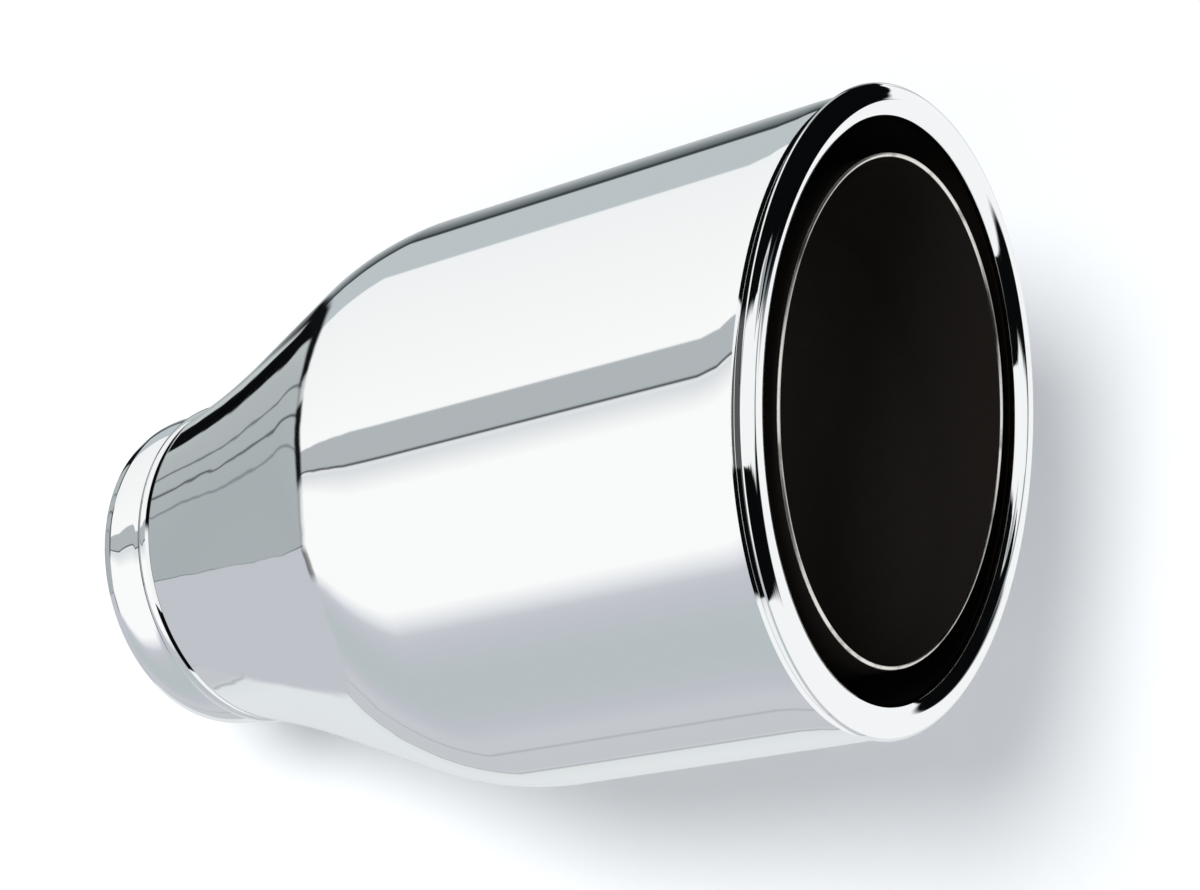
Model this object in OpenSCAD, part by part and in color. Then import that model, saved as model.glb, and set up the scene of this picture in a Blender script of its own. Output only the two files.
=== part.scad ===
// Exhaust tip: a polished outer shell with a rolled, angle-cut mouth and an inner liner.
// The axis runs along X from the inlet end at the origin to the mouth. Z is up, on the long side.

/* [Inlet collar] */
// Outside diameter of the tailpipe that the collar slides onto
pipe_d = 63.5; // [50:0.5:70]
// Gap between the pipe and the collar bore, all round
pipe_gap = 0.25; // [0.1:0.05:0.5]
// Depth of the plain bore that takes the pipe
socket_depth = 18; // [16:0.5:24]
// Length of the end bead
bead_len = 9.6; // [7:0.1:10]
// Height of the end bead above the groove
bead_rise = 0.75; // [0.4:0.05:1.5]
// Radius of the crown of the end bead
bead_crown_r = 12; // [9:0.5:20]
// Radius of the turned-in nose of the end bead
bead_nose_r = 1.3; // [0.8:0.1:1.5]
// Distance from the inlet end to the crest of the rib
rib_pos = 12.9; // [12.4:0.1:13.4]
// Height of the rib above the groove
rib_rise = 1.75; // [1.5:0.05:2.2]
// Radius of the crown of the rib
rib_crown_r = 2.5; // [2.1:0.1:3.2]

/* [Cone] */
// Distance from the inlet end to the foot of the cone
foot_pos = 14.4; // [14:0.1:15.4]
// Height of the foot of the cone above the groove
foot_rise = 1.4; // [1.2:0.05:1.7]
// Slope at the foot of the cone, in degrees
foot_angle = 14.3; // [8:0.1:16]
// Slope of the straight part of the cone, in degrees
cone_angle = 21.8; // [18:0.1:30]
// Share of the cone's rise in the hollow curve above the foot
sweep_share = 0.40; // [0.25:0.01:0.5]
// Share of the cone's rise in the round shoulder
shoulder_share = 0.195; // [0.1:0.005:0.3]

/* [Barrel] */
// Outside diameter of the barrel
barrel_d = 114.3; // [106:0.1:130]
// Distance from the inlet end to the centre of the mouth
tip_len = 168.7; // [150:0.1:220]
// Thickness of the shell's sheet
sheet = 1.0; // [0.8:0.05:1.2]

/* [Rolled mouth] */
// Angle of the mouth away from square, in degrees
cut_angle = 11.6; // [0:0.1:20]
// Length over which the barrel flares out before the mouth
flare_len = 6; // [4:0.5:10]
// Half the width of the rolled edge, from its outermost to its innermost line
roll_r = 3.0; // [2.6:0.1:3.5]
// Depth of the rolled edge along the axis as a share of its width
roll_flat = 0.55; // [0.5:0.01:0.8]
// Height of the rolled edge above the barrel
roll_proud = 0.7; // [0.5:0.05:0.9]
// Turn of the sheet round the roll, from its outermost line to its edge, in degrees
roll_turn = 235; // [200:1:245]

/* [Liner] */
// Outside diameter of the inner liner
liner_d = 90.8; // [86:0.1:98]
// Thickness of the liner's sheet
liner_wall = 0.8; // [0.6:0.05:1.6]
// Length of the tapered seat where the liner lies on the inside of the cone
seat_len = 6; // [4:0.5:10]

/* [Hidden] */
$fn = 180;

// Radii of the collar, the barrel and the liner
bore_r = pipe_d / 2 + pipe_gap;
groove_r = bore_r + sheet;
bead_r = groove_r + bead_rise;
rib_r = groove_r + rib_rise;
foot_r = groove_r + foot_rise;
barrel_r = barrel_d / 2;
liner_r = liner_d / 2;

// Curves of the cone, from the foot to the barrel
cone_rise = barrel_r - foot_r;
sweep_r = sweep_share * cone_rise / (cos(foot_angle) - cos(cone_angle));
shoulder_r = shoulder_share * cone_rise / (1 - cos(cone_angle));
sweep_end_x = foot_pos + sweep_r * (sin(cone_angle) - sin(foot_angle));
sweep_end_r = foot_r + sweep_share * cone_rise;
shoulder_end_r = barrel_r - shoulder_share * cone_rise;
straight_rise = shoulder_end_r - sweep_end_r;
shoulder_x = sweep_end_x + straight_rise / tan(cone_angle);
barrel_x = shoulder_x + shoulder_r * sin(cone_angle);

// Slant of the mouth plane, and the middle of the roll
slant = tan(cut_angle);
roll_mid_r = barrel_r + roll_proud - roll_r;

// Flare and its lap on the barrel, in lengths before the mouth is flattened along the axis
flare_start = flare_len / roll_flat;
flare_stop = roll_r / 3;
flare_top_r = roll_mid_r + sqrt(roll_r ^ 2 - flare_stop ^ 2);
lap = 4;

// Overrun of the barrel and the liner in front of the mouth, and size of the block that trims them
past = 6;
far_x = tip_len + slant * barrel_r + past;
block = 4 * tip_len;

// Place along the axis at which the inside of the cone or its shoulder has a given radius
shoulder_in_r = shoulder_end_r - sheet * cos(cone_angle);
function inside_x(r) = r < shoulder_in_r
    ? sweep_end_x + (r + sheet / cos(cone_angle) - sweep_end_r) / tan(cone_angle)
    : barrel_x - sqrt((shoulder_r - sheet) ^ 2 - (r - barrel_r + shoulder_r) ^ 2);

// Seat of the liner on the inside of the cone
seat_low_r = liner_r - seat_len * tan(cone_angle);
seat_low_x = inside_x(seat_low_r);
seat_top_x = inside_x(liner_r);
seat_angle = atan((liner_r - seat_low_r) / (seat_top_x - seat_low_x));
seat_wall = liner_wall / cos(seat_angle);
bend_x = seat_top_x + (seat_wall - liner_wall) / tan(seat_angle);

// End bead, groove and rib outside the collar. In these profiles X is the radius and Y the length.
module collar_profile() {
    intersection() {
        translate([bead_r - bead_crown_r, bead_len / 2])
            circle(bead_crown_r);
        union() {
            square([bead_r - bead_nose_r, bead_len]);
            translate([0, bead_nose_r])
                square([bead_r + 1, bead_len - bead_nose_r]);
            translate([bead_r - bead_nose_r, bead_nose_r])
                circle(bead_nose_r);
        }
    }
    translate([0, bead_len - 1])
        square([groove_r, foot_pos + 1 - bead_len]);
    intersection() {
        translate([rib_r - rib_crown_r, rib_pos])
            circle(rib_crown_r);
        square([rib_r + 1, foot_pos + 1]);
    }
}

// Cone and barrel, with the inside drawn parallel to the outside
module body_profile(inset, start_x) {
    low_x = sweep_end_x + inset * sin(cone_angle);
    low_r = sweep_end_r - inset * cos(cone_angle);
    high_x = shoulder_x + inset * sin(cone_angle);
    high_r = shoulder_end_r - inset * cos(cone_angle);
    difference() {
        translate([0, start_x])
            square([barrel_r, low_x - start_x]);
        translate([sweep_end_r + sweep_r * cos(cone_angle), sweep_end_x - sweep_r * sin(cone_angle)])
            circle(sweep_r + inset, $fn = 720);
    }
    polygon([[0, low_x], [low_r, low_x], [high_r, high_x], [0, high_x]]);
    intersection() {
        translate([0, high_x])
            square([barrel_r + 1, barrel_x - high_x]);
        translate([barrel_r - shoulder_r, barrel_x])
            circle(shoulder_r - inset, $fn = 360);
    }
    translate([0, barrel_x])
        square([barrel_r - inset, far_x - barrel_x]);
}

// Section of the flare, and of the sheet turned in on itself to form the rolled edge
module curl_profile() {
    open_angle = 297;
    reach = 2 * roll_r;
    translate([barrel_r - sheet, -flare_start - lap])
        square([sheet, lap]);
    polygon([[barrel_r - sheet, -flare_start], [barrel_r, -flare_start],
        [flare_top_r, -flare_stop], [flare_top_r - sheet, -flare_stop]]);
    translate([roll_mid_r, 0])
        difference() {
            circle(roll_r, $fn = 72);
            circle(roll_r - sheet, $fn = 72);
            polygon([[0, 0], [reach * cos(roll_turn), reach * sin(roll_turn)],
                [reach * cos(open_angle), reach * sin(open_angle)]]);
        }
}

// A solid turned about X from a profile with X as the radius
module turned() {
    rotate([0, 90, 0])
        rotate_extrude()
            children();
}

// Everything in front of the slanted plane, set back by a distance along the axis
module beyond_mouth(back) {
    translate([tip_len - back, 0, 0])
        rotate([0, cut_angle, 0])
            translate([0, -block / 2, -block / 2])
                cube(block);
}

module outer_shell() {
    color("gainsboro") {
        difference() {
            turned() {
                collar_profile();
                body_profile(0, foot_pos);
            }
            turned()
                translate([0, -1])
                    square([bore_r, socket_depth + 2]);
            turned()
                body_profile(sheet, socket_depth);
            beyond_mouth(flare_len);
        }
        multmatrix([[roll_flat, 0, slant, tip_len], [0, 1, 0, 0], [0, 0, 1, 0]])
            turned()
                curl_profile();
    }
}

module inner_liner() {
    color("darkgray")
        difference() {
            turned()
                polygon([[seat_low_r, seat_low_x], [liner_r, seat_top_x], [liner_r, far_x],
                    [liner_r - liner_wall, far_x], [liner_r - liner_wall, bend_x],
                    [seat_low_r - seat_wall, seat_low_x]]);
            beyond_mouth(0);
        }
}

outer_shell();
inner_liner();
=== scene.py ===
"""Looks of the exhaust tip: a polished shell with a rolled, angle-cut mouth and a dark inner liner.

The CAD frame gives the sizes. The two pieces are turned again here with fine, smooth surfaces,
because a mirror finish shows every facet, and they get their finishes, studio light and camera.
"""

import logging
import math
from dataclasses import dataclass, field
from enum import Enum
from typing import Any, Callable

import bmesh
import bpy
from mathutils import Matrix, Vector


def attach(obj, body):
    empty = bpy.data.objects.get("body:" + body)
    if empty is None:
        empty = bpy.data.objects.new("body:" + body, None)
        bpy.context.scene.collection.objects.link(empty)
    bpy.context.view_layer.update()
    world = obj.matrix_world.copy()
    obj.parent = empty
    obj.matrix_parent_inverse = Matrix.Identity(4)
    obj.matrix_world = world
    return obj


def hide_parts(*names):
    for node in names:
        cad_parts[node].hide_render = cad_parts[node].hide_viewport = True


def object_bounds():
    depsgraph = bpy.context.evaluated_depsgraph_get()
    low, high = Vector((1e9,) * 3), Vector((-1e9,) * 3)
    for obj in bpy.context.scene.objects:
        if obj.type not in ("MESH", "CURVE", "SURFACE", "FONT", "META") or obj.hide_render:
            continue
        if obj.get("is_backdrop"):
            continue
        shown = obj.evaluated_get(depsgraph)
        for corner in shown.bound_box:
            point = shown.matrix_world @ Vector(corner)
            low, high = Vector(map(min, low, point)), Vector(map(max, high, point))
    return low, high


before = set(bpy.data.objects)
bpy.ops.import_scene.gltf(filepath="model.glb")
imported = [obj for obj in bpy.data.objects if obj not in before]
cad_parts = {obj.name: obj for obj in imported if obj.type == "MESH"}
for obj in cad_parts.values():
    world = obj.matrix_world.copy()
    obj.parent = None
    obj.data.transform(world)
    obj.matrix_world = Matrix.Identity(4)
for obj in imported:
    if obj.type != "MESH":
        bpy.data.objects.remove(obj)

MM = 0.001
SHARP_DEGREES = 35.0
LOG = logging.getLogger("exhaust_tip")

Tree = bpy.types.NodeTree
Socket = bpy.types.NodeSocket
Shades = tuple[tuple[float, str], ...]
Curve = tuple[tuple[float, float], ...]


class Zone(Enum):
    """The finishes of the part, as material slots of its pieces."""

    POLISHED = 0
    DARK_INSIDE = 1
    CUT_EDGE = 2
    PLAIN_BORE = 3


def linear(hex_colour: str) -> tuple[float, float, float, float]:
    """Turns an sRGB colour into linear values.

    Args:
        hex_colour: colour as "#rrggbb".

    Returns:
        Red, green, blue and alpha.
    """
    parts = [int(hex_colour[i : i + 2], 16) / 255 for i in (1, 3, 5)]
    flat = [p / 12.92 if p <= 0.04045 else ((p + 0.055) / 1.055) ** 2.4 for p in parts]
    return (flat[0], flat[1], flat[2], 1.0)


def add_node(
    tree: Tree,
    kind: str,
    inputs: dict[str | int, Any] | None = None,
    **settings: Any,
) -> bpy.types.Node:
    """Adds one shader node with its settings, values and links.

    Args:
        tree: node tree that gets the node.
        kind: type of the node.
        inputs: a value or an output socket for each named or numbered input.
        settings: attributes of the node.

    Returns:
        The new node.
    """
    node = tree.nodes.new(kind)
    for name, value in settings.items():
        setattr(node, name, value)
    for key, value in (inputs or {}).items():
        if isinstance(value, Socket):
            tree.links.new(value, node.inputs[key])
        else:
            node.inputs[key].default_value = value
    return node


def fill_ramp(node: bpy.types.Node, stops: list[tuple[float, Any]], ease: str) -> None:
    """Sets the stops of a colour ramp.

    Args:
        node: the ramp node.
        stops: place from 0 to 1 and linear colour of each stop, in order.
        ease: how the ramp runs between its stops.
    """
    ramp = node.color_ramp
    ramp.interpolation = ease
    while len(ramp.elements) > 1:
        ramp.elements.remove(ramp.elements[-1])
    ramp.elements[0].position = stops[0][0]
    ramp.elements[0].color = stops[0][1]
    for place, colour in stops[1:]:
        ramp.elements.new(place).color = colour


@dataclass(frozen=True)
class Finish:
    """A procedural finish, with a pattern that shades the surface and lifts it a little.

    Sizes are in mm. The shades and the strength of the relief may change along the X axis.
    """

    name: str = "plain"
    shades: Shades = ((0.0, "#808080"),)
    ease: str = "EASE"
    shade_by_pattern: float = 1.0
    shade_by_place: float = 0.0
    metallic: float = 1.0
    roughness: float = 0.3
    specular: float = 0.5
    pattern_mm: float = 1.0
    stretch: float = 1.0
    detail: float = 2.0
    relief_mm: float = 0.05
    strength: tuple[float, float] = (0.0, 0.0)
    fade_mm: tuple[float, float] = (0.0, 1.0)

    def pattern(self, tree: Tree, place: Socket) -> Socket:
        """Adds the pattern: patches of the pattern's size, longer along X where it is stretched.

        Args:
            tree: node tree of the material.
            place: the piece's own coordinates, in metres.

        Returns:
            The pattern, from 0 to 1.
        """
        axes = {"Vector": place, "Scale": (self.stretch, 1.0, 1.0)}
        drawn = add_node(tree, "ShaderNodeMapping", axes).outputs[0]
        size = {"Vector": drawn, "Scale": 1 / (self.pattern_mm * MM), "Detail": self.detail}
        return add_node(tree, "ShaderNodeTexNoise", size).outputs["Fac"]

    def shader(self, tree: Tree, colour: Socket, normal: Socket) -> Socket:
        """Adds the shader.

        Args:
            tree: node tree of the material.
            colour: colour of the surface.
            normal: normal of the surface, with its relief.

        Returns:
            The shader output.
        """
        look = {
            "Base Color": colour,
            "Metallic": self.metallic,
            "Roughness": self.roughness,
            "Specular IOR Level": self.specular,
            "Normal": normal,
        }
        return add_node(tree, "ShaderNodeBsdfPrincipled", look).outputs[0]

    def make(self) -> bpy.types.Material:
        """Builds the finish.

        Returns:
            The material.
        """
        material = bpy.data.materials.new(self.name)
        material.use_nodes = True
        tree = material.node_tree
        tree.nodes.clear()
        place = add_node(tree, "ShaderNodeTexCoord").outputs["Object"]
        pattern = self.pattern(tree, place)
        along = add_node(tree, "ShaderNodeSeparateXYZ", {0: place}).outputs["X"]
        begin, end = self.fade_mm
        stretch = {"Value": along, "From Min": begin * MM, "From Max": end * MM}
        fade = add_node(tree, "ShaderNodeMapRange", stretch).outputs[0]
        low, high = self.strength
        rise = {"Value": fade, "To Min": low, "To Max": high}
        strength = add_node(tree, "ShaderNodeMapRange", rise, interpolation_type="SMOOTHSTEP")
        relief = {"Strength": strength.outputs[0], "Distance": self.relief_mm * MM}
        bump = add_node(tree, "ShaderNodeBump", relief | {"Height": pattern})
        # Along X the shade changes where shade_by_place is set; on the soot black this is painted
        # fill light.
        part = add_node(
            tree, "ShaderNodeMath", {0: fade, 1: self.shade_by_place}, operation="MULTIPLY"
        )
        shares = {0: pattern, 1: self.shade_by_pattern, 2: part.outputs[0]}
        share = add_node(tree, "ShaderNodeMath", shares, operation="MULTIPLY_ADD")
        shade = add_node(tree, "ShaderNodeValToRGB", {"Fac": share.outputs[0]})
        stops = [(at, linear(colour)) for at, colour in self.shades]
        fill_ramp(shade, stops, self.ease)
        surface = self.shader(tree, shade.outputs["Color"], bump.outputs[0])
        add_node(tree, "ShaderNodeOutputMaterial", {"Surface": surface})
        return material


@dataclass(frozen=True)
class MirrorPolish(Finish):
    """Stainless steel, spun to shape and buffed to a mirror.

    It reflects like still water on the barrel. The spinning tool and the buffing leave low
    waves on the cone, which draw its reflections into streaks along the slope. They run round
    the cone every 9 mm or so and are three times as long along the slope.
    """

    name: str = "stainless_steel_spun_and_mirror_polished"
    shades: Shades = ((0.0, "#f9fafa"),)
    roughness: float = 0.035
    pattern_mm: float = 9.0
    stretch: float = 0.33
    relief_mm: float = 0.085
    strength: tuple[float, float] = (0.02, 1.0)
    fade_mm: tuple[float, float] = (84.0, 72.0)


@dataclass(frozen=True)
class SootBlackWithPaintedFill(Finish):
    """Steel under a baked matt black coat with soot on it, which swallows nearly all light.

    The soot lies in soft patches a few millimetres across. The shades are painted lighter deep
    inside the tube, where less light reaches, and darker at the lit mouth: a painted fill light.
    """

    name: str = "steel_coated_matt_black_sooted_with_painted_fill"
    # Painted fill light: the shades run from light deep in the tube, where less light reaches, to
    # dark at the lit mouth.
    shades: Shades = (
        (0.0, "#4a453f"), (0.2, "#46403a"), (0.33, "#3b3631"), (0.57, "#2b2724"),
        (0.78, "#1f1c1a"), (1.0, "#1b1816"),
    )
    ease: str = "LINEAR"
    shade_by_pattern: float = 0.06
    shade_by_place: float = 1.0
    metallic: float = 0.0
    roughness: float = 0.95
    specular: float = 0.0
    pattern_mm: float = 4.0
    detail: float = 4.0
    strength: tuple[float, float] = (0.3, 0.3)
    fade_mm: tuple[float, float] = (108.0, 168.0)


@dataclass(frozen=True)
class SawnEdge(Finish):
    """Bare stainless edge, cut and lightly deburred, which shines paler than the black inside.

    The deburring wheel touches the edge unevenly, every few millimetres.
    """

    name: str = "stainless_steel_cut_and_deburred"
    shades: Shades = ((0.3, "#a8a49c"), (0.5, "#f1ede6"))
    roughness: float = 0.28
    pattern_mm: float = 7.0
    detail: float = 3.0


@dataclass(frozen=True)
class TurnedBore(Finish):
    """Plain stainless inside of the collar, with fine turning rings that dull it.

    Real rings lie 0.15 mm apart. They are drawn at 0.5 mm so that they show.
    """

    name: str = "stainless_steel_turned_bore"
    shades: Shades = ((0.0, "#b9bbbd"),)
    roughness: float = 0.38
    pattern_mm: float = 0.5
    relief_mm: float = 0.02
    strength: tuple[float, float] = (0.4, 0.4)
    unevenness: float = 0.4

    def pattern(self, tree: Tree, place: Socket) -> Socket:
        """Adds the rings.

        Args:
            tree: node tree of the material.
            place: the piece's own coordinates, in metres.

        Returns:
            The rings, from 0 to 1.
        """
        # At a scale of 1 a wave of this texture is 2 pi / 20 long.
        scale = math.tau / 20 / (self.pattern_mm * MM)
        size = {"Vector": place, "Scale": scale, "Distortion": self.unevenness}
        return add_node(tree, "ShaderNodeTexWave", size, bands_direction="X").outputs["Fac"]


@dataclass(frozen=True)
class MattPaper(Finish):
    """White seamless paper of the studio floor and backdrop, with a soft, even grain."""

    name: str = "paper_white_matt"
    shades: Shades = ((0.0, "#f4f5f6"),)
    pattern_mm: float = 1.1
    strength: tuple[float, float] = (0.05, 0.05)
    one_sided: bool = False

    def shader(self, tree: Tree, colour: Socket, normal: Socket) -> Socket:
        """Adds the matt shader, with a clear back where the paper is one-sided.

        Args:
            tree: node tree of the material.
            colour: colour of the surface.
            normal: normal of the surface, with its relief.

        Returns:
            The shader output.
        """
        paper = add_node(tree, "ShaderNodeBsdfDiffuse", {"Color": colour, "Normal": normal})
        if not self.one_sided:
            return paper.outputs[0]
        clear = add_node(tree, "ShaderNodeBsdfTransparent")
        back = add_node(tree, "ShaderNodeNewGeometry").outputs["Backfacing"]
        sides = {0: back, 1: paper.outputs[0], 2: clear.outputs[0]}
        return add_node(tree, "ShaderNodeMixShader", sides).outputs[0]


@dataclass
class Finishes:
    """All finishes of the part, made once and shared by its pieces."""

    polish: MirrorPolish = field(default_factory=MirrorPolish)
    # The soot black also holds a painted fill light, lighter deep in the tube.
    soot: SootBlackWithPaintedFill = field(default_factory=SootBlackWithPaintedFill)
    edge: SawnEdge = field(default_factory=SawnEdge)
    bore: TurnedBore = field(default_factory=TurnedBore)
    made: list[bpy.types.Material] = field(default_factory=list)

    def put_on(self, piece: bpy.types.Object) -> None:
        """Gives a piece one slot for each zone, in the order of the zones.

        Args:
            piece: mesh object that gets the materials.
        """
        if not self.made:
            self.made = [f.make() for f in (self.polish, self.soot, self.edge, self.bore)]
        for material in self.made:
            piece.data.materials.append(material)


class TurnedProfile:
    """Draws the half section of a turned piece, one stretch after another, and turns it about X."""

    def __init__(self, x: float, r: float) -> None:
        """Starts the section.

        Args:
            x: place along the axis, in mm.
            r: distance from the axis, in mm.
        """
        self.bm = bmesh.new()
        self.start = self.bm.verts.new((x * MM, 0.0, r * MM))
        self.tip = self.start
        self.soft: list[tuple[bmesh.types.BMVert, float]] = []

    @property
    def at(self) -> tuple[float, float]:
        """Place of the pen along and away from the axis, in mm."""
        return self.tip.co.x / MM, self.tip.co.z / MM

    def _draw(self, steps: int, **how: Any) -> "TurnedProfile":
        """Draws a stretch from the pen by spinning its vertex.

        Args:
            steps: how many edges the stretch has.
            how: centre, angle or shift of the spin.

        Returns:
            The profile, for the next stretch.
        """
        spin = {"cent": (0.0, 0.0, 0.0), "dvec": (0.0, 0.0, 0.0), "angle": 0.0} | how
        drawn = bmesh.ops.spin(
            self.bm,
            geom=[self.tip],
            axis=(0.0, 1.0, 0.0),
            steps=steps,
            use_merge=False,
            use_normal_flip=False,
            use_duplicate=False,
            **spin,
        )
        self.tip = [v for v in drawn["geom_last"] if isinstance(v, bmesh.types.BMVert)][0]
        return self

    def line_to(self, x: float, r: float, steps: int = 1) -> "TurnedProfile":
        """Draws a straight stretch.

        Args:
            x: end along the axis, in mm.
            r: end away from the axis, in mm.
            steps: how many edges the stretch has.

        Returns:
            The profile, for the next stretch.
        """
        way = Vector((x * MM, 0.0, r * MM)) - self.tip.co
        return self._draw(steps, dvec=way / steps)

    def arc_to(
        self, centre: tuple[float, float], end: float, steps: int, back: bool = False
    ) -> "TurnedProfile":
        """Draws an arc.

        Args:
            centre: middle of the arc, along and away from the axis, in mm.
            end: angle at which the arc ends, from straight outwards towards +X, in degrees.
            steps: how many edges the arc has.
            back: True where the angle falls along the arc.

        Returns:
            The profile, for the next stretch.
        """
        x, r = self.at
        begin = math.degrees(math.atan2(x - centre[0], r - centre[1]))
        sweep = (end - begin) % 360 - (360 if back else 0)
        place = (centre[0] * MM, 0.0, centre[1] * MM)
        return self._draw(steps, cent=place, angle=math.radians(sweep))

    def soften(self, size: float) -> "TurnedProfile":
        """Notes that the corner at the pen gets rounded.

        Args:
            size: length that the rounding takes from each side, in mm.

        Returns:
            The profile, for the next stretch.
        """
        self.soft.append((self.tip, size))
        return self

    def close(self) -> "TurnedProfile":
        """Joins the end of the section to its start and rounds the noted corners.

        Returns:
            The profile, ready to be turned.
        """
        self.bm.edges.new((self.tip, self.start))
        for corner, size in self.soft:
            bmesh.ops.bevel(
                self.bm,
                geom=[corner],
                offset=size * MM,
                offset_type="OFFSET",
                segments=5,
                profile=0.5,
                affect="VERTICES",
                material=-1,
            )
        return self

    def turn(self, steps: int) -> bmesh.types.BMesh:
        """Turns the section once round the X axis into a closed solid.

        Args:
            steps: how many facets lie round the axis.

        Returns:
            The solid, with its normals outwards.
        """
        bmesh.ops.spin(
            self.bm,
            geom=self.bm.verts[:] + self.bm.edges[:],
            cent=(0.0, 0.0, 0.0),
            axis=(1.0, 0.0, 0.0),
            dvec=(0.0, 0.0, 0.0),
            angle=2 * math.pi,
            steps=steps,
            use_merge=True,
            use_normal_flip=False,
            use_duplicate=False,
        )
        bmesh.ops.remove_doubles(self.bm, verts=self.bm.verts[:], dist=0.002 * MM)
        bmesh.ops.recalc_face_normals(self.bm, faces=self.bm.faces[:])
        return self.bm


def finish_mesh(
    bm: bmesh.types.BMesh, name: str, zone_of: Callable[[Vector], Zone]
) -> bpy.types.Object:
    """Turns a solid into a smooth piece with its zones marked.

    Args:
        bm: the solid.
        name: name of the piece.
        zone_of: gives the zone of a face from its centre.

    Returns:
        The piece.
    """
    for face in bm.faces:
        face.smooth = True
        face.material_index = zone_of(face.calc_center_median()).value
    for edge in bm.edges:
        edge.smooth = edge.calc_face_angle(0.0) < math.radians(SHARP_DEGREES)
    mesh = bpy.data.meshes.new(name)
    bm.to_mesh(mesh)
    bm.free()
    piece = bpy.data.objects.new(name, mesh)
    bpy.context.scene.collection.objects.link(piece)
    return piece


@dataclass
class OuterShell:
    """Polished shell: collar with bead and rib, cone, barrel and the rolled, slanted mouth.

    Lengths are in mm and angles in degrees.
    """

    pipe_d: float = 63.5
    pipe_gap: float = 0.25
    socket_depth: float = 18.0
    bead_len: float = 9.6
    bead_rise: float = 0.75
    bead_crown_r: float = 12.0
    nose_x: float = 0.3
    nose_drop: float = 0.6
    nose_soft: float = 0.25
    rib_pos: float = 12.9
    rib_rise: float = 1.75
    rib_crown_r: float = 2.5
    groove_soft: float = 0.35
    foot_pos: float = 14.4
    foot_rise: float = 1.4
    foot_angle: float = 14.3
    foot_step: tuple[float, float] = (0.2, 0.02)
    foot_soft: float = 0.1
    cone_angle: float = 21.8
    sweep_share: float = 0.40
    shoulder_share: float = 0.195
    barrel_d: float = 114.3
    tip_len: float = 168.7
    sheet: float = 1.0
    cut_angle: float = 11.6
    neck_start: float = 8.85
    neck_soft_r: float = 80.0
    neck_soft_angle: float = 2.6
    neck_r: float = 22.0
    neck_angle: float = 9.4
    crease: tuple[float, float] = (-2.13, 56.25)
    crease_soft: float = 0.08
    bead_back_r: float = 0.42
    bead_back_angles: tuple[float, float] = (-42.0, 12.0)
    fold_angle: float = -20.0
    fold_inside: tuple[tuple[float, float], ...] = ((-1.80, 55.25), (-2.80, 55.78))
    outer_bend: tuple[float, float] = (-0.33, 55.78)
    outer_bend_r: float = 2.05
    inner_bend: tuple[float, float] = (-0.54, 53.20)
    inner_bend_r: float = 1.80
    crown_r: float = 5.5
    roll_turn: float = 235.0
    lean_back: float = 1.5
    lean_depth: float = 3.15
    lean_over: float = 3.0
    slope_ends: tuple[float, float] = (8.0, 12.0)
    rim_slack: float = 0.5
    rim_depth: float = 1.3
    rim_skin: float = 0.95
    groove_skin: float = 0.3
    bore_slack: float = 0.01
    facets: int = 240

    def __post_init__(self) -> None:
        """Works out the radii and the places where the stretches of the section meet."""
        foot, cone = math.radians(self.foot_angle), math.radians(self.cone_angle)
        self.bore_r = self.pipe_d / 2 + self.pipe_gap
        self.groove_r = self.bore_r + self.sheet
        self.foot_r = self.groove_r + self.foot_rise
        self.barrel_r = self.barrel_d / 2
        rise = self.barrel_r - self.foot_r
        self.sweep_r = self.sweep_share * rise / (math.cos(foot) - math.cos(cone))
        self.shoulder_r = self.shoulder_share * rise / (1 - math.cos(cone))
        sweep_x = self.foot_pos - self.sweep_r * math.sin(foot)
        self.sweep_mid = (sweep_x, self.foot_r + self.sweep_r * math.cos(foot))
        sweep_end_r = self.foot_r + self.sweep_share * rise
        self.sweep_end = (sweep_x + self.sweep_r * math.sin(cone), sweep_end_r)
        shoulder_low = self.barrel_r - self.shoulder_share * rise
        shoulder_x = self.sweep_end[0] + (shoulder_low - sweep_end_r) / math.tan(cone)
        self.shoulder = (shoulder_x, shoulder_low)
        self.barrel_x = shoulder_x + self.shoulder_r * math.sin(cone)
        self.shoulder_mid = (self.barrel_x, self.barrel_r - self.shoulder_r)
        self.slant = math.tan(math.radians(self.cut_angle))
        self.soft_mid = (self.tip_len - self.neck_start, self.barrel_r - self.neck_soft_r)
        step = self.neck_soft_r - self.neck_r
        self.neck_mid = self.at_angle(self.soft_mid, step, self.neck_soft_angle)
        out, inn = Vector(self.outer_bend), Vector(self.inner_bend)
        to_out, to_in = self.crown_r - self.outer_bend_r, self.crown_r - self.inner_bend_r
        gap = (inn - out).length
        along = (inn - out) / gap
        part = (to_out**2 - to_in**2 + gap**2) / (2 * gap)
        mid = out + part * along
        mid += math.sqrt(to_out**2 - part**2) * Vector((along.y, -along.x))
        self.crown_begin = math.degrees(math.atan2(out.x - mid.x, out.y - mid.y))
        self.crown_end = math.degrees(math.atan2(inn.x - mid.x, inn.y - mid.y))
        shift = Vector((self.tip_len, 0.0))
        self.outer_mid, self.inner_mid = tuple(out + shift), tuple(inn + shift)
        step = self.outer_bend_r - self.bead_back_r
        self.back_mid = self.at_angle(self.outer_mid, step, self.bead_back_angles[1])
        self.crown_mid = tuple(mid + shift)

    def inside_x(self, r: float) -> float:
        """Gives the place along the axis where the inside of the cone has a radius.

        Args:
            r: distance from the axis, in mm.

        Returns:
            Place along the axis, in mm.
        """
        slope = math.radians(self.cone_angle)
        if r < self.shoulder[1] - self.sheet * math.cos(slope):
            rise = r + self.sheet / math.cos(slope) - self.sweep_end[1]
            return self.sweep_end[0] + rise / math.tan(slope)
        height = r - self.barrel_r + self.shoulder_r
        return self.barrel_x - math.sqrt((self.shoulder_r - self.sheet) ** 2 - height**2)

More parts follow.
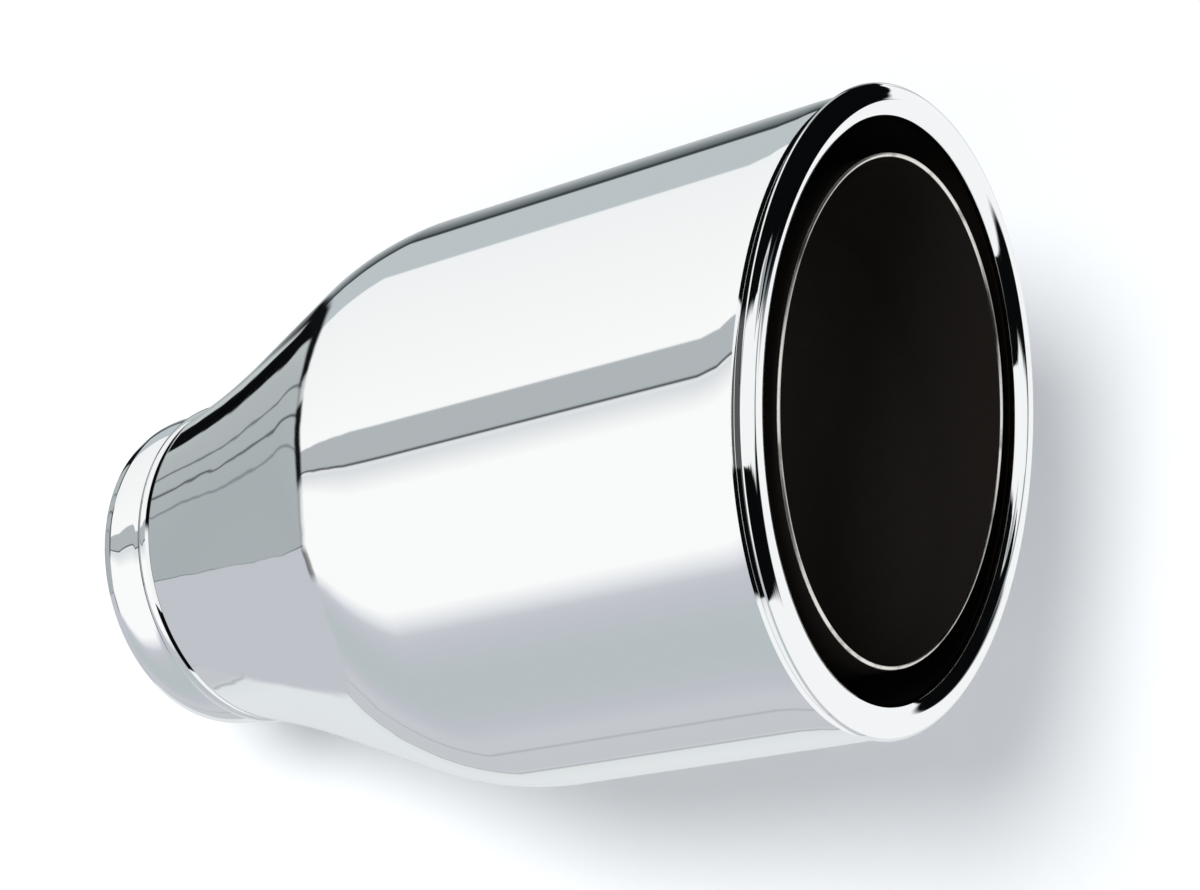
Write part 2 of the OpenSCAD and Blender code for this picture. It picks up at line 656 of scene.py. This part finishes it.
    def at_angle(
        self, centre: tuple[float, float], radius: float, angle: float
    ) -> tuple[float, float]:
        """Gives a point of an arc.

        Args:
            centre: middle of the arc, along and away from the axis, in mm.
            radius: radius of the arc, in mm.
            angle: place on the arc, from straight outwards towards +X, in degrees.

        Returns:
            The point, along and away from the axis, in mm.
        """
        turn = math.radians(angle)
        return centre[0] + radius * math.sin(turn), centre[1] + radius * math.cos(turn)

    def slope_mouth(self, bm: bmesh.types.BMesh) -> None:
        """Slides the rings of the barrel along the axis until the last ones lie in the slant.

        The barrel is straight there, so its surface stays as it is and only the mouth leans.
        The outer part of the rolled edge leans back a little on the long side.

        Args:
            bm: the turned solid.
        """
        begin = (self.barrel_x + self.slope_ends[0]) * MM
        end = (self.tip_len - self.slope_ends[1]) * MM
        for v in bm.verts:
            share = min(max((v.co.x - begin) / (end - begin), 0.0), 1.0)
            r = math.hypot(v.co.y, v.co.z)
            high = max(v.co.z / r, 0.0)
            rise = r / MM - self.barrel_r + self.lean_depth
            outer = min(max(rise / self.lean_over, 0.0), 1.0)
            slide = self.slant * v.co.z - self.lean_back * MM * high**2 * outer
            v.co.x += share * slide

    def outside_r(self, x: float) -> float:
        """Gives the radius of the shell's outside, with the groove's for the whole collar.

        Args:
            x: place along the axis, in mm.

        Returns:
            Distance from the axis, in mm.
        """
        if x < self.foot_pos:
            return self.groove_r
        if x < self.sweep_end[0]:
            height = math.sqrt(self.sweep_r**2 - (x - self.sweep_mid[0]) ** 2)
            return self.sweep_mid[1] - height
        if x < self.shoulder[0]:
            slope = math.tan(math.radians(self.cone_angle))
            return self.sweep_end[1] + (x - self.sweep_end[0]) * slope
        if x < self.barrel_x:
            height = math.sqrt(self.shoulder_r**2 - (x - self.barrel_x) ** 2)
            return self.shoulder_mid[1] + height
        return self.barrel_r

    def zone_of(self, centre: Vector) -> Zone:
        """Gives the zone of a face.

        Args:
            centre: middle of the face.

        Returns:
            Polished outside and on the roll, dark inside, plain in the collar bore.
        """
        r = math.hypot(centre.y, centre.z) / MM
        x = centre.x / MM
        lean = x - self.tip_len - self.slant * centre.z / MM
        if lean > -self.neck_start - self.lean_back - self.rim_slack:
            outside = lean > -self.rim_depth or r > self.barrel_r - self.rim_skin
            return Zone.POLISHED if outside else Zone.DARK_INSIDE
        if x < self.socket_depth + self.bore_slack and r < self.bore_r + self.bore_slack:
            return Zone.PLAIN_BORE
        skin = self.sheet / 2 + (self.groove_skin if x < self.foot_pos else 0.0)
        return Zone.POLISHED if r > self.outside_r(x) - skin else Zone.DARK_INSIDE

    def section(self) -> TurnedProfile:
        """Draws the section of the sheet, outside first and then back along the inside.

        Returns:
            The closed section.
        """
        bead_r = self.groove_r + self.bead_rise
        crown = (self.bead_len / 2, bead_r - self.bead_crown_r)
        rib_r = self.groove_r + self.rib_rise
        rib = (self.rib_pos, rib_r - self.rib_crown_r)
        bead_half = math.degrees(math.acos((self.groove_r - crown[1]) / self.bead_crown_r))
        rib_half = math.degrees(math.acos((self.groove_r - rib[1]) / self.rib_crown_r))
        rib_end = math.degrees(math.asin((self.foot_pos - rib[0]) / self.rib_crown_r))
        nose_r = crown[1] + math.sqrt(self.bead_crown_r**2 - (self.nose_x - crown[0]) ** 2)
        pen = TurnedProfile(0.0, self.groove_r - self.nose_drop)
        pen.line_to(self.nose_x, nose_r).soften(self.nose_soft)
        pen.arc_to(crown, bead_half, 24).soften(self.groove_soft)
        pen.line_to(self.at_angle(rib, self.rib_crown_r, -rib_half)[0], self.groove_r)
        pen.soften(self.groove_soft)
        pen.arc_to(rib, rib_end, 24)
        pen.line_to(self.foot_pos + self.foot_step[0], self.foot_r + self.foot_step[1])
        pen.soften(self.foot_soft)
        pen.arc_to(self.sweep_mid, 180 - self.cone_angle, 26, back=True)
        pen.line_to(*self.shoulder, steps=10)
        pen.arc_to(self.shoulder_mid, 0.0, 26)
        pen.line_to(self.soft_mid[0], self.barrel_r, steps=6)
        pen.arc_to(self.soft_mid, self.neck_soft_angle, 8)
        pen.arc_to(self.neck_mid, self.neck_angle, 12)
        pen.line_to(self.tip_len + self.crease[0], self.crease[1]).soften(self.crease_soft)
        back, front = self.bead_back_angles
        pen.line_to(*self.at_angle(self.back_mid, self.bead_back_r, back), steps=2)
        pen.arc_to(self.back_mid, front, 14)
        pen.arc_to(self.outer_mid, self.crown_begin, 30)
        pen.arc_to(self.crown_mid, self.crown_end, 16)
        pen.arc_to(self.inner_mid, self.roll_turn, 22)
        inner = self.inner_bend_r - self.sheet
        pen.line_to(*self.at_angle(self.inner_mid, inner, self.roll_turn))
        pen.arc_to(self.inner_mid, self.crown_end, 8, back=True)
        pen.arc_to(self.crown_mid, self.crown_begin, 5, back=True)
        pen.arc_to(self.outer_mid, self.fold_angle, 8, back=True)
        for x, r in self.fold_inside:
            pen.line_to(self.tip_len + x, r)
        pen.line_to(*self.at_angle(self.neck_mid, self.neck_r - self.sheet, self.neck_angle))
        pen.arc_to(self.neck_mid, self.neck_soft_angle, 6, back=True)
        pen.arc_to(self.soft_mid, 0.0, 4, back=True)
        pen.line_to(self.barrel_x, self.barrel_r - self.sheet, steps=5)
        pen.arc_to(self.shoulder_mid, -self.cone_angle, 16, back=True)
        inner = self.sweep_r + self.sheet
        pen.line_to(*self.at_angle(self.sweep_mid, inner, 180 - self.cone_angle), steps=7)
        low = math.degrees(math.asin((self.socket_depth - self.sweep_mid[0]) / inner))
        pen.arc_to(self.sweep_mid, 180 - low, 12)
        pen.line_to(self.socket_depth, self.bore_r)
        pen.line_to(0.0, self.bore_r, steps=5)
        return pen.close()

    def build(self) -> bpy.types.Object:
        """Builds the shell.

        Returns:
            The piece.
        """
        solid = self.section().turn(self.facets)
        self.slope_mouth(solid)
        return finish_mesh(solid, "polished_shell", self.zone_of)

    def dress(self, piece: bpy.types.Object, finishes: Finishes) -> None:
        """Gives the shell its finishes and its place in the frame.

        Args:
            piece: the shell.
            finishes: the finishes of the part.
        """
        finishes.put_on(piece)
        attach(piece, "root")
        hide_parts("outer_shell")


@dataclass
class InnerLiner:
    """Dark tube inside the shell, with its bright cut edge at the mouth. Lengths are in mm."""

    shell: OuterShell
    liner_d: float = 90.8
    liner_wall: float = 0.8
    seat_len: float = 6.0
    edge_soft: float = 0.39
    edge_depth: float = 0.4
    facets: int = 256

    def section(self) -> TurnedProfile:
        """Draws the section: tapered seat, tube and the edge at the mouth.

        Returns:
            The closed section.
        """
        out_r = self.liner_d / 2
        in_r = out_r - self.liner_wall
        low_r = out_r - self.seat_len * math.tan(math.radians(self.shell.cone_angle))
        top, low = self.shell.inside_x(out_r), self.shell.inside_x(low_r)
        slope = math.atan2(out_r - low_r, top - low)
        skin = self.liner_wall / math.cos(slope)
        bend = top + (skin - self.liner_wall) / math.tan(slope)
        mouth = self.shell.tip_len
        pen = TurnedProfile(low, low_r)
        pen.line_to(top, out_r)
        pen.line_to(mouth, out_r, steps=6).soften(self.edge_soft)
        pen.line_to(mouth, in_r).soften(self.edge_soft)
        pen.line_to(bend, in_r, steps=6)
        pen.line_to(low, low_r - skin)
        return pen.close()

    def zone_of(self, centre: Vector) -> Zone:
        """Gives the zone of a face.

        Args:
            centre: middle of the face.

        Returns:
            The bright cut edge at the mouth, or the dark tube.
        """
        lean = centre.x / MM - self.shell.tip_len - self.shell.slant * centre.z / MM
        return Zone.CUT_EDGE if lean > -self.edge_depth else Zone.DARK_INSIDE

    def build(self) -> bpy.types.Object:
        """Builds the liner.

        Returns:
            The piece.
        """
        solid = self.section().turn(self.facets)
        self.shell.slope_mouth(solid)
        return finish_mesh(solid, "dark_liner", self.zone_of)

    def dress(self, piece: bpy.types.Object, finishes: Finishes) -> None:
        """Gives the liner its finishes and its place in the frame.

        Args:
            piece: the liner.
            finishes: the finishes of the part.
        """
        finishes.put_on(piece)
        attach(piece, "root")
        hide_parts("inner_liner")


@dataclass(frozen=True)
class Span:
    """Stretch between two angles with soft edges, all in degrees."""

    begin: float
    end: float
    blur: float


@dataclass(frozen=True)
class Band(Span):
    """Strip of the studio set with one colour."""

    colour: str
    share: float = 1.0


@dataclass(frozen=True)
class StudioSky:
    """Soft boxes and dark flags round the part, as the polished metal sees them.

    A direction is given by its turn about the X axis, from -Y (0) over up (90), and by its
    angle away from +X, in degrees. The camera itself sees plain white.
    """

    barrel: Shades = (
        (-180, "#d4d9db"), (-170, "#e0e4e6"), (-150, "#e4e8ea"), (-138, "#e0e4e6"),
        (-134, "#c6c8cd"), (-108, "#c9cbd1"), (-98, "#c1c4cb"), (-84, "#bac3c6"),
        (-68, "#bac3c6"), (-54, "#c3c5cd"), (-49, "#c9cbd2"), (-44, "#e6e8ec"),
        (-38, "#ffffff"), (10, "#ffffff"), (20, "#dcdfe2"), (24, "#ffffff"), (136, "#f0f2f3"),
        (138, "#5c6466"), (146, "#8f9698"), (154, "#b4b8bb"), (166, "#ced2d5"),
        (180, "#d4d9db"),
    )
    barrel_bands: tuple[Band, ...] = (
        Band(22.2, 35.3, 0.5, "#b2b8bb"),
        Band(21.6, 22.6, 0.45, "#40474b"),
        Band(108.2, 134.0, 0.8, "#bdc5c8"),
        Band(133.6, 138.0, 0.9, "#3c4446"),
        Band(-118.0, -116.6, 0.8, "#adb2b7", 0.8),
        Band(-137.6, -135.8, 0.8, "#aeb3b7", 0.9),
    )
    shoulder_shift: Curve = (
        (0, 0.0), (128, 0.0), (133, 1.3), (140, 4.5), (147, 9.0), (152, 14.0), (160, 20.0),
        (180, 20.0),
    )
    cone_high: Shades = (
        (0, "#eef1f1"), (129, "#eef1f1"), (136, "#c4cacb"), (147, "#b2b8ba"), (165, "#aab1b4"),
        (180, "#acb3b6"),
    )
    cone_high_bands: tuple[Band, ...] = (
        Band(131.6, 140.6, 0.6, "#0c0d0e"),
        Band(151.6, 152.3, 0.5, "#5f676b"),
        Band(158.2, 159.0, 0.5, "#4a5256"),
        Band(165.2, 165.8, 0.5, "#757d81"),
    )
    cone_low: Shades = (
        (0, "#e4e7ea"), (118, "#dfe3e6"), (125, "#a9afb5"), (133, "#b2b8bd"), (138, "#dee1e6"),
        (146, "#d6d9df"), (149, "#c3c6cd"), (180, "#c3c6cd"),
    )
    cone_low_bands: tuple[Band, ...] = (Band(147.2, 148.8, 0.8, "#7b8288"),)
    stroke_angle: Curve = (
        (-180, 150), (-140, 152), (-60, 156), (-30, 158), (-5, 160), (35, 155), (60, 152.5),
        (78, 149.5), (90, 147), (110, 142), (125, 139), (140, 137), (160, 133), (180, 130),
    )
    stroke_dark: Curve = (
        (-180, 0.0), (-30, 0.0), (-22, 0.7), (-8, 0.7), (-2, 0.15), (30, 0.25), (37, 1.0),
        (76, 1.0), (80, 0.35), (88, 0.35), (92, 1.0), (150, 1.0), (165, 0.0), (180, 0.0),
    )
    flag_low: Curve = (
        (-180, 40), (-165, 38), (-150, 28), (-130, 24), (-90, 22), (-70, 24), (-44, 33),
        (-30, 51), (-23, 70), (-18, 89), (-14, 109), (-10, 179), (180, 179),
    )
    flag_high: Curve = (
        (-180, 40), (-160, 46), (-153, 46), (-126, 40), (-103, 42), (-85, 50.5), (-74, 62),
        (-67, 76), (-63, 92), (-61, 180), (180, 180),
    )
    top_low: Curve = ((-180, 38), (-170, 60), (30, 40), (45, 22), (180, 17))
    top_high: Curve = (
        (-180, 61.5), (-170, 50), (0, 180), (140, 180), (146, 90), (152, 72), (160, 64),
        (180, 61.5),
    )
    flag_blur: float = 2.0
    flag_turn: Span = Span(-178.0, -5.0, 2.0)
    top_blur: float = 1.5
    top_turn: Span = Span(29.0, 184.0, 4.0)
    turn_limits: tuple[float, float] = (190.0, -170.0)
    seam_away: Span = Span(35.0, 41.0, 3.0)
    seam_turn: Span = Span(176.0, 204.0, 4.0)
    front_end: tuple[float, float] = (17.5, 1.5)
    front_turn: Span = Span(70.0, 165.0, 15.0)
    roll_end: tuple[float, float] = (96.0, 2.0)
    cone_lean: tuple[float, float] = (-0.2, 22.0)
    cone_split: tuple[float, float] = (-3.5, 0.3)
    cone_edge: Band = Band(-3.4, -2.4, 0.4, "#6c7478")
    deep_turn: Span = Span(138.0, 174.0, 2.0)
    deep_away: tuple[float, float] = (141.5, 1.5)
    stroke_blur: float = 1.0
    stroke: Band = Band(-1.6, 1.6, 0.8, "#101214")
    crease_turn: Span = Span(-60.0, 100.0, 12.0)
    crease_dark: float = 0.9
    second_bounce: tuple[float, float] = (1.5, 0.1)
    white: str = "#f8f9fa"
    black: str = "#08090a"
    front_grey: str = "#98a0a4"
    fill_light: str = "#aeb2b6"
    camera_white: str = "#ffffff"

    def ramp(self, tree: Tree, angle: Any, stops: Shades | Curve, low: float = -180.0) -> Socket:
        """Adds a ramp of colours or plain values over an angle.

        Args:
            tree: node tree of the world.
            angle: the angle, in degrees.
            stops: angle and colour, or angle and value, of each stop.
            low: angle at which the ramp starts. It ends at 180.

        Returns:
            The colour output.
        """
        share = add_node(
            tree, "ShaderNodeMapRange", {"Value": angle, "From Min": low, "From Max": 180.0}
        )
        node = add_node(tree, "ShaderNodeValToRGB", {"Fac": share.outputs[0]})
        filled = []
        for at, value in stops:
            colour = linear(value) if isinstance(value, str) else (value, value, value, 1.0)
            filled.append(((at - low) / (180 - low), colour))
        fill_ramp(node, filled, "LINEAR")
        return node.outputs["Color"]

    def curve(self, tree: Tree, angle: Any, stops: Curve, low: float = -180.0) -> Socket:
        """Adds a curve that gives one angle for another.

        Args:
            tree: node tree of the world.
            angle: the angle that goes in, in degrees.
            stops: angle in and angle out of each stop.
            low: angle at which the curve starts. It ends at 180.

        Returns:
            The angle that comes out, in degrees.
        """
        shares = tuple((at, value / 180) for at, value in stops)
        factors = {0: self.ramp(tree, angle, shares, low), 1: 180.0}
        return add_node(tree, "ShaderNodeMath", factors, operation="MULTIPLY").outputs[0]

    def beyond(self, tree: Tree, angle: Any, limit: Any, blur: float) -> Socket:
        """Adds a share that rises smoothly from 0 to 1 where an angle passes a limit.

        Args:
            tree: node tree of the world.
            angle: the angle, in degrees.
            limit: where the middle of the edge lies, in degrees.
            blur: half the width of the edge. The share falls where it is negative.

        Returns:
            The share.
        """
        past = add_node(tree, "ShaderNodeMath", {0: angle, 1: limit}, operation="SUBTRACT")
        edge = {"Value": past.outputs[0], "From Min": -blur, "From Max": blur}
        share = add_node(tree, "ShaderNodeMapRange", edge, interpolation_type="SMOOTHSTEP")
        return share.outputs[0]

    def overlap(self, tree: Tree, *shares: Any) -> Socket:
        """Adds the share where several shares meet.

        Args:
            tree: node tree of the world.
            shares: the shares, as outputs or plain numbers.

        Returns:
            Their product.
        """
        meet, *others = shares
        for other in others:
            product = add_node(tree, "ShaderNodeMath", {0: meet, 1: other}, operation="MULTIPLY")
            meet = product.outputs[0]
        return meet

    def within(self, tree: Tree, angle: Any, span: Span) -> Socket:
        """Adds a share that is 1 inside a span and 0 outside it.

        Args:
            tree: node tree of the world.
            angle: the angle, in degrees.
            span: the span.

        Returns:
            The share.
        """
        begins = self.beyond(tree, angle, span.begin, span.blur)
        return self.overlap(tree, begins, self.beyond(tree, angle, span.end, -span.blur))

    def lay(self, tree: Tree, under: Any, *layers: tuple[Any, Any]) -> Socket:
        """Lays colours over a colour, one after another.

        Args:
            tree: node tree of the world.
            under: the colour below.
            layers: share and colour of each layer, from below.

        Returns:
            The colour with its layers.
        """
        for share, colour in layers:
            sockets = {0: share, 6: under, 7: colour}
            under = add_node(tree, "ShaderNodeMix", sockets, data_type="RGBA").outputs[2]
        return under

    def lay_bands(self, tree: Tree, under: Any, angle: Any, bands: tuple[Band, ...]) -> Socket:
        """Lays bands over a colour.

        Args:
            tree: node tree of the world.
            under: the colour below.
            angle: the angle along which the bands are measured.
            bands: the bands, in order.

        Returns:
            The colour with its bands.
        """
        for band in bands:
            share = self.overlap(tree, self.within(tree, angle, band), band.share)
            under = self.lay(tree, under, (share, linear(band.colour)))
        return under

    def on_roll(self, tree: Tree, around: Any, away: Any) -> Socket:
        """Adds what the rolled edge sees in front of the mouth.

        Args:
            tree: node tree of the world.
            around: turn about X, in degrees.
            away: angle away from +X, in degrees.

        Returns:
            The colour.
        """
        white, black, grey = map(linear, (self.white, self.black, self.front_grey))
        left = self.overlap(
            tree,
            self.beyond(tree, away, self.curve(tree, around, self.flag_low), self.flag_blur),
            self.beyond(tree, away, self.curve(tree, around, self.flag_high), -self.flag_blur),
            self.within(tree, around, self.flag_turn),
        )
        # This flag runs on past 180 degrees, so its angle wraps lower down.
        limits = {0: around, 1: self.turn_limits[0], 2: self.turn_limits[1]}
        wrapped = add_node(tree, "ShaderNodeMath", limits, operation="WRAP").outputs[0]
        right = self.overlap(
            tree,
            self.beyond(tree, away, self.curve(tree, around, self.top_low), self.flag_blur),
            self.beyond(tree, away, self.curve(tree, around, self.top_high), -self.top_blur),
            self.within(tree, wrapped, self.top_turn),
        )
        seam = self.within(tree, away, self.seam_away)
        seam = self.overlap(tree, seam, self.within(tree, wrapped, self.seam_turn))
        seen = self.lay(tree, white, (left, black), (right, black), (seam, grey))
        front = self.lay(tree, white, (self.within(tree, around, self.front_turn), grey))
        limit, blur = self.front_end
        return self.lay(tree, seen, (self.beyond(tree, away, limit, -blur), front))

    def on_barrel(self, tree: Tree, around: Any, away: Any) -> Socket:
        """Adds what the barrel and the shoulder see.

        Args:
            tree: node tree of the world.
            around: turn about X, in degrees.
            away: angle away from +X, in degrees.

        Returns:
            The colour.
        """
        # The soft boxes lie lower towards the inlet, so their edges drop behind the shoulder.
        drop = self.curve(tree, away, self.shoulder_shift, 0.0)
        lower = add_node(tree, "ShaderNodeMath", {0: around, 1: drop}, operation="SUBTRACT")
        under = self.ramp(tree, lower.outputs[0], self.barrel)
        return self.lay_bands(tree, under, lower.outputs[0], self.barrel_bands)

    def on_cone(self, tree: Tree, around: Any, away: Any) -> Socket:
        """Adds what the cone sees: dark lines above, a pale panel below and one black flag.

        Args:
            tree: node tree of the world.
            around: turn about X, in degrees.
            away: angle away from +X, in degrees.

        Returns:
            The colour.
        """
        lean = {0: around, 1: self.cone_lean[0], 2: self.cone_lean[1]}
        level = add_node(tree, "ShaderNodeMath", lean, operation="MULTIPLY_ADD")
        leaned = add_node(tree, "ShaderNodeMath", {0: away, 1: level.outputs[0]}, operation="ADD")
        high = self.ramp(tree, away, self.cone_high, 0.0)
        high = self.lay_bands(tree, high, leaned.outputs[0], self.cone_high_bands)
        low = self.ramp(tree, away, self.cone_low, 0.0)
        low = self.lay_bands(tree, low, away, self.cone_low_bands)
        split, split_blur = self.cone_split
        cone = self.lay(tree, high, (self.beyond(tree, around, split, -split_blur), low))
        cone = self.lay_bands(tree, cone, around, (self.cone_edge,))
        deep, deep_blur = self.deep_away
        deep_share = self.overlap(
            tree,
            self.within(tree, around, self.deep_turn),
            self.beyond(tree, away, deep, deep_blur),
        )
        return self.lay(tree, cone, (deep_share, linear(self.black)))

    def directions(self, tree: Tree) -> tuple[Socket, Socket]:
        """Adds the two angles of a direction.

        Args:
            tree: node tree of the world.

        Returns:
            The turn about X and the angle away from +X, in degrees.
        """
        way = add_node(tree, "ShaderNodeTexCoord").outputs["Generated"]
        unit = add_node(tree, "ShaderNodeVectorMath", {0: way}, operation="NORMALIZE")
        x, y, z = add_node(tree, "ShaderNodeSeparateXYZ", {0: unit.outputs[0]}).outputs
        towards = add_node(tree, "ShaderNodeMath", {0: y, 1: -1.0}, operation="MULTIPLY")
        sides = {0: z, 1: towards.outputs[0]}
        turn = add_node(tree, "ShaderNodeMath", sides, operation="ARCTAN2")
        lean = add_node(tree, "ShaderNodeMath", {0: x}, operation="ARCCOSINE")
        around, away = (
            add_node(tree, "ShaderNodeMath", {0: angle.outputs[0]}, operation="DEGREES")
            for angle in (turn, lean)
        )
        return around.outputs[0], away.outputs[0]

    def make(self) -> bpy.types.World:
        """Builds the sky.

        Returns:
            The world.
        """
        world = bpy.data.worlds.new("studio")
        world.use_nodes = True
        tree = world.node_tree
        tree.nodes.clear()
        around, away = self.directions(tree)
        foot = {0: away, 1: self.curve(tree, around, self.stroke_angle)}
        past = add_node(tree, "ShaderNodeMath", foot, operation="SUBTRACT").outputs[0]
        stroke = self.overlap(
            tree, self.within(tree, past, self.stroke), self.ramp(tree, around, self.stroke_dark)
        )
        # What the steel mirrors a second time, in the crease behind the roll, is the dark set.
        light_path = add_node(tree, "ShaderNodeLightPath").outputs
        twice = self.overlap(
            tree,
            self.beyond(tree, light_path["Glossy Depth"], *self.second_bounce),
            self.within(tree, around, self.crease_turn),
            self.crease_dark,
        )
        seen = self.lay(
            tree,
            self.on_roll(tree, around, away),
            (self.beyond(tree, away, *self.roll_end), self.on_barrel(tree, around, away)),
            (self.beyond(tree, past, 0.0, self.stroke_blur), self.on_cone(tree, around, away)),
            (stroke, linear(self.stroke.colour)),
            (twice, linear(self.black)),
        )
        # Matt faces get the even fill light, and the camera sees plain white.
        rays = {0: light_path["Is Camera Ray"], 1: light_path["Is Transmission Ray"]}
        plain = add_node(tree, "ShaderNodeMath", rays, operation="ADD").outputs[0]
        fill, white = linear(self.fill_light), linear(self.camera_white)
        final = self.lay(tree, fill, (light_path["Is Glossy Ray"], seen), (plain, white))
        background = add_node(tree, "ShaderNodeBackground", {"Color": final, "Strength": 1.0})
        add_node(tree, "ShaderNodeOutputWorld", {"Surface": background.outputs[0]})
        return world


@dataclass
class Studio:
    """Pale floor, backdrop, soft lamp, sky and camera. Lengths are in mm."""

    floor_z: float = -160.0
    wall_turn: float = 32.8
    wall_away: float = 42.0
    reach: float = 1500.0
    lamp_size: float = 380.0
    lamp_power: float = 10.0
    lamp_from: tuple[float, float, float] = (445.0, -1073.0, 234.0)
    lamp_to: tuple[float, float, float] = (90.0, 0.0, 0.0)
    camera_at: tuple[float, float, float] = (348.44, -379.52, -42.69)
    camera_forward: tuple[float, float, float] = (-0.53808, 0.83576, 0.10940)
    camera_up: tuple[float, float, float] = (0.19923, 0.0, 0.97995)
    lens_mm: float = 69.95
    sky: StudioSky = field(default_factory=StudioSky)

    def place_sheet(self, name: str, turn: Matrix, shift: Vector, one_sided: bool) -> None:
        """Lays one large sheet of paper.

        Args:
            name: name of the sheet.
            turn: turns the sheet from level.
            shift: moves its middle, in metres.
            one_sided: True where only its front shows.
        """
        bm = bmesh.new()
        bmesh.ops.create_grid(bm, x_segments=8, y_segments=8, size=self.reach * MM)
        bmesh.ops.transform(bm, matrix=Matrix.Translation(shift) @ turn, verts=bm.verts[:])
        mesh = bpy.data.meshes.new(name)
        bm.to_mesh(mesh)
        bm.free()
        sheet = bpy.data.objects.new(name, mesh)
        bpy.context.scene.collection.objects.link(sheet)
        mesh.materials.append(MattPaper(name=f"{name}_paper", one_sided=one_sided).make())
        sheet.visible_glossy = False
        sheet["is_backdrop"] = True

    def build(self) -> None:
        """Lays the floor and the backdrop, hangs the lamp and sets the sky."""
        level = Matrix.Identity(4)
        facing = Matrix.Rotation(math.radians(self.wall_turn), 4, "Z")
        upright = facing @ Matrix.Rotation(math.radians(90), 4, "X")
        behind = facing.to_3x3() @ Vector((0, self.wall_away * MM, 0))
        self.place_sheet("floor", level, Vector((0, 0, self.floor_z * MM)), False)
        self.place_sheet("backdrop", upright, behind, True)
        lamp = bpy.data.lights.new("soft_box", "AREA")
        lamp.shape = "DISK"
        lamp.size = self.lamp_size * MM
        lamp.energy = self.lamp_power
        lamp_object = bpy.data.objects.new("soft_box", lamp)
        start, aim = Vector(self.lamp_from) * MM, Vector(self.lamp_to) * MM
        lamp_object.location = start
        lamp_object.rotation_euler = (aim - start).to_track_quat("-Z", "Y").to_euler()
        lamp_object.visible_glossy = False
        bpy.context.scene.collection.objects.link(lamp_object)
        bpy.context.scene.world = self.sky.make()
        bpy.context.scene.view_settings.view_transform = "Standard"

    def set_camera(self) -> None:
        """Puts the camera at the viewing angle and makes it the scene's."""
        data = bpy.data.cameras.new("camera")
        data.lens = self.lens_mm
        data.sensor_width = 36.0
        data.sensor_fit = "HORIZONTAL"
        data.clip_start, data.clip_end = 0.01, 20.0
        camera = bpy.data.objects.new("camera", data)
        back = -Vector(self.camera_forward).normalized()
        side = Vector(self.camera_up).cross(back).normalized()
        top = back.cross(side)
        turn = Matrix((side, top, back)).transposed().to_4x4()
        camera.matrix_world = Matrix.Translation(Vector(self.camera_at) * MM) @ turn
        bpy.context.scene.collection.objects.link(camera)
        bpy.context.scene.camera = camera


def write_size(before: tuple[Vector, Vector]) -> None:
    """Writes the CAD box and the box of the finished looks.

    Args:
        before: corners of the CAD box.
    """
    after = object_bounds()
    boxes = {"cad": [list(c) for c in before], "visual": [list(c) for c in after]}
    for name, (low, high) in boxes.items():
        sizes = [round((h - l) / MM, 3) for l, h in zip(low, high)]
        LOG.info("%s box %s mm", name, sizes)


def main() -> None:
    """Builds the piece in order, dresses it and sets the studio round it."""
    logging.basicConfig(level=logging.INFO, format="%(name)s: %(message)s")
    cad_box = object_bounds()
    finishes = Finishes()
    shell = OuterShell()
    for part in (shell, InnerLiner(shell)):
        piece = part.build()
        part.dress(piece, finishes)
        LOG.info("%s: %d faces", piece.name, len(piece.data.polygons))
    studio = Studio()
    studio.build()
    studio.set_camera()
    LOG.info("studio: floor, backdrop, lamp, sky and camera")
    write_size(cad_box)


if __name__ == "__main__":
    main()
